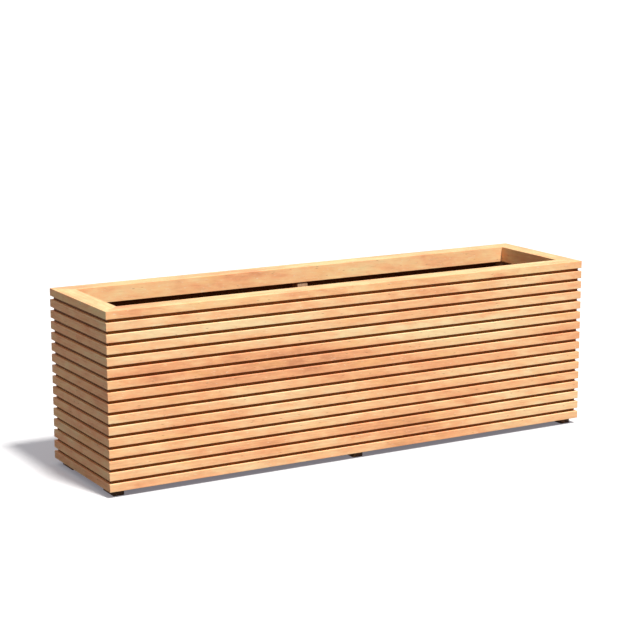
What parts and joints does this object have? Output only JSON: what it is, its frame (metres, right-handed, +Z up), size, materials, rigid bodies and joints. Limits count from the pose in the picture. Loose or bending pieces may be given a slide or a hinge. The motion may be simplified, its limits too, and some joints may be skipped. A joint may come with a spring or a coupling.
{
  "type": "planter box",
  "caption": "Long free-standing hardwood planter box with horizontal slats on all four sides, a flat mitred rim and low dark feet.",
  "frame": {"origin": "on the ground under the middle of the box", "axes": "+X along the box to the right end, -Y out of the front, +Z up"},
  "size_m": [2, 0.5, 0.65],
  "materials": {
    "hardwood_slat": "smooth planed and oiled hardwood, straight grain, matt",
    "hardwood_rim": "smooth planed and oiled hardwood, straight grain, matt",
    "post_wood": "planed pale hardwood, bare",
    "frame_wood": "sawn hardwood, dark stained against damp",
    "dark_panel": "film-faced exterior plywood, dark brown, satin",
    "dark_foot": "dark stained hardwood, matt",
    "joint_wood": "turned or planed hardwood, bare",
    "screw_steel": "stainless steel, satin"
  },
  "bodies": {
    "root": {"back_slat_01": "hardwood_slat", "back_slat_02": "hardwood_slat", "back_slat_03": "hardwood_slat", "back_slat_04": "hardwood_slat", "back_slat_05": "hardwood_slat", "back_slat_06": "hardwood_slat", "back_slat_07": "hardwood_slat", "back_slat_08": "hardwood_slat", "back_slat_09": "hardwood_slat", "back_slat_10": "hardwood_slat", "back_slat_11": "hardwood_slat", "back_slat_12": "hardwood_slat", "back_slat_13": "hardwood_slat", "back_slat_14": "hardwood_slat", "back_slat_15": "hardwood_slat", "dowels": "joint_wood", "feet": "dark_foot", "floor_bearers": "frame_wood", "floor_panel": "dark_panel", "floor_screws": "screw_steel", "foot_screws": "screw_steel", "front_slat_01": "hardwood_slat", "front_slat_02": "hardwood_slat", "front_slat_03": "hardwood_slat", "front_slat_04": "hardwood_slat", "front_slat_05": "hardwood_slat", "front_slat_06": "hardwood_slat", "front_slat_07": "hardwood_slat", "front_slat_08": "hardwood_slat", "front_slat_09": "hardwood_slat", "front_slat_10": "hardwood_slat", "front_slat_11": "hardwood_slat", "front_slat_12": "hardwood_slat", "front_slat_13": "hardwood_slat", "front_slat_14": "hardwood_slat", "front_slat_15": "hardwood_slat", "left_slats": "hardwood_slat", "panel_back": "dark_panel", "panel_front": "dark_panel", "panel_left": "dark_panel", "panel_right": "dark_panel", "panel_screws": "screw_steel", "post_back_left": "post_wood", "post_back_middle": "post_wood", "post_back_right": "post_wood", "post_front_left": "post_wood", "post_front_middle": "post_wood", "post_front_right": "post_wood", "rail_back": "frame_wood", "rail_front": "frame_wood", "rail_left": "frame_wood", "rail_right": "frame_wood", "right_slats": "hardwood_slat", "rim_back": "hardwood_rim", "rim_front": "hardwood_rim", "rim_left": "hardwood_rim", "rim_right": "hardwood_rim", "rim_tongues": "joint_wood", "slat_screws": "screw_steel"}
  },
  "joints": []
}
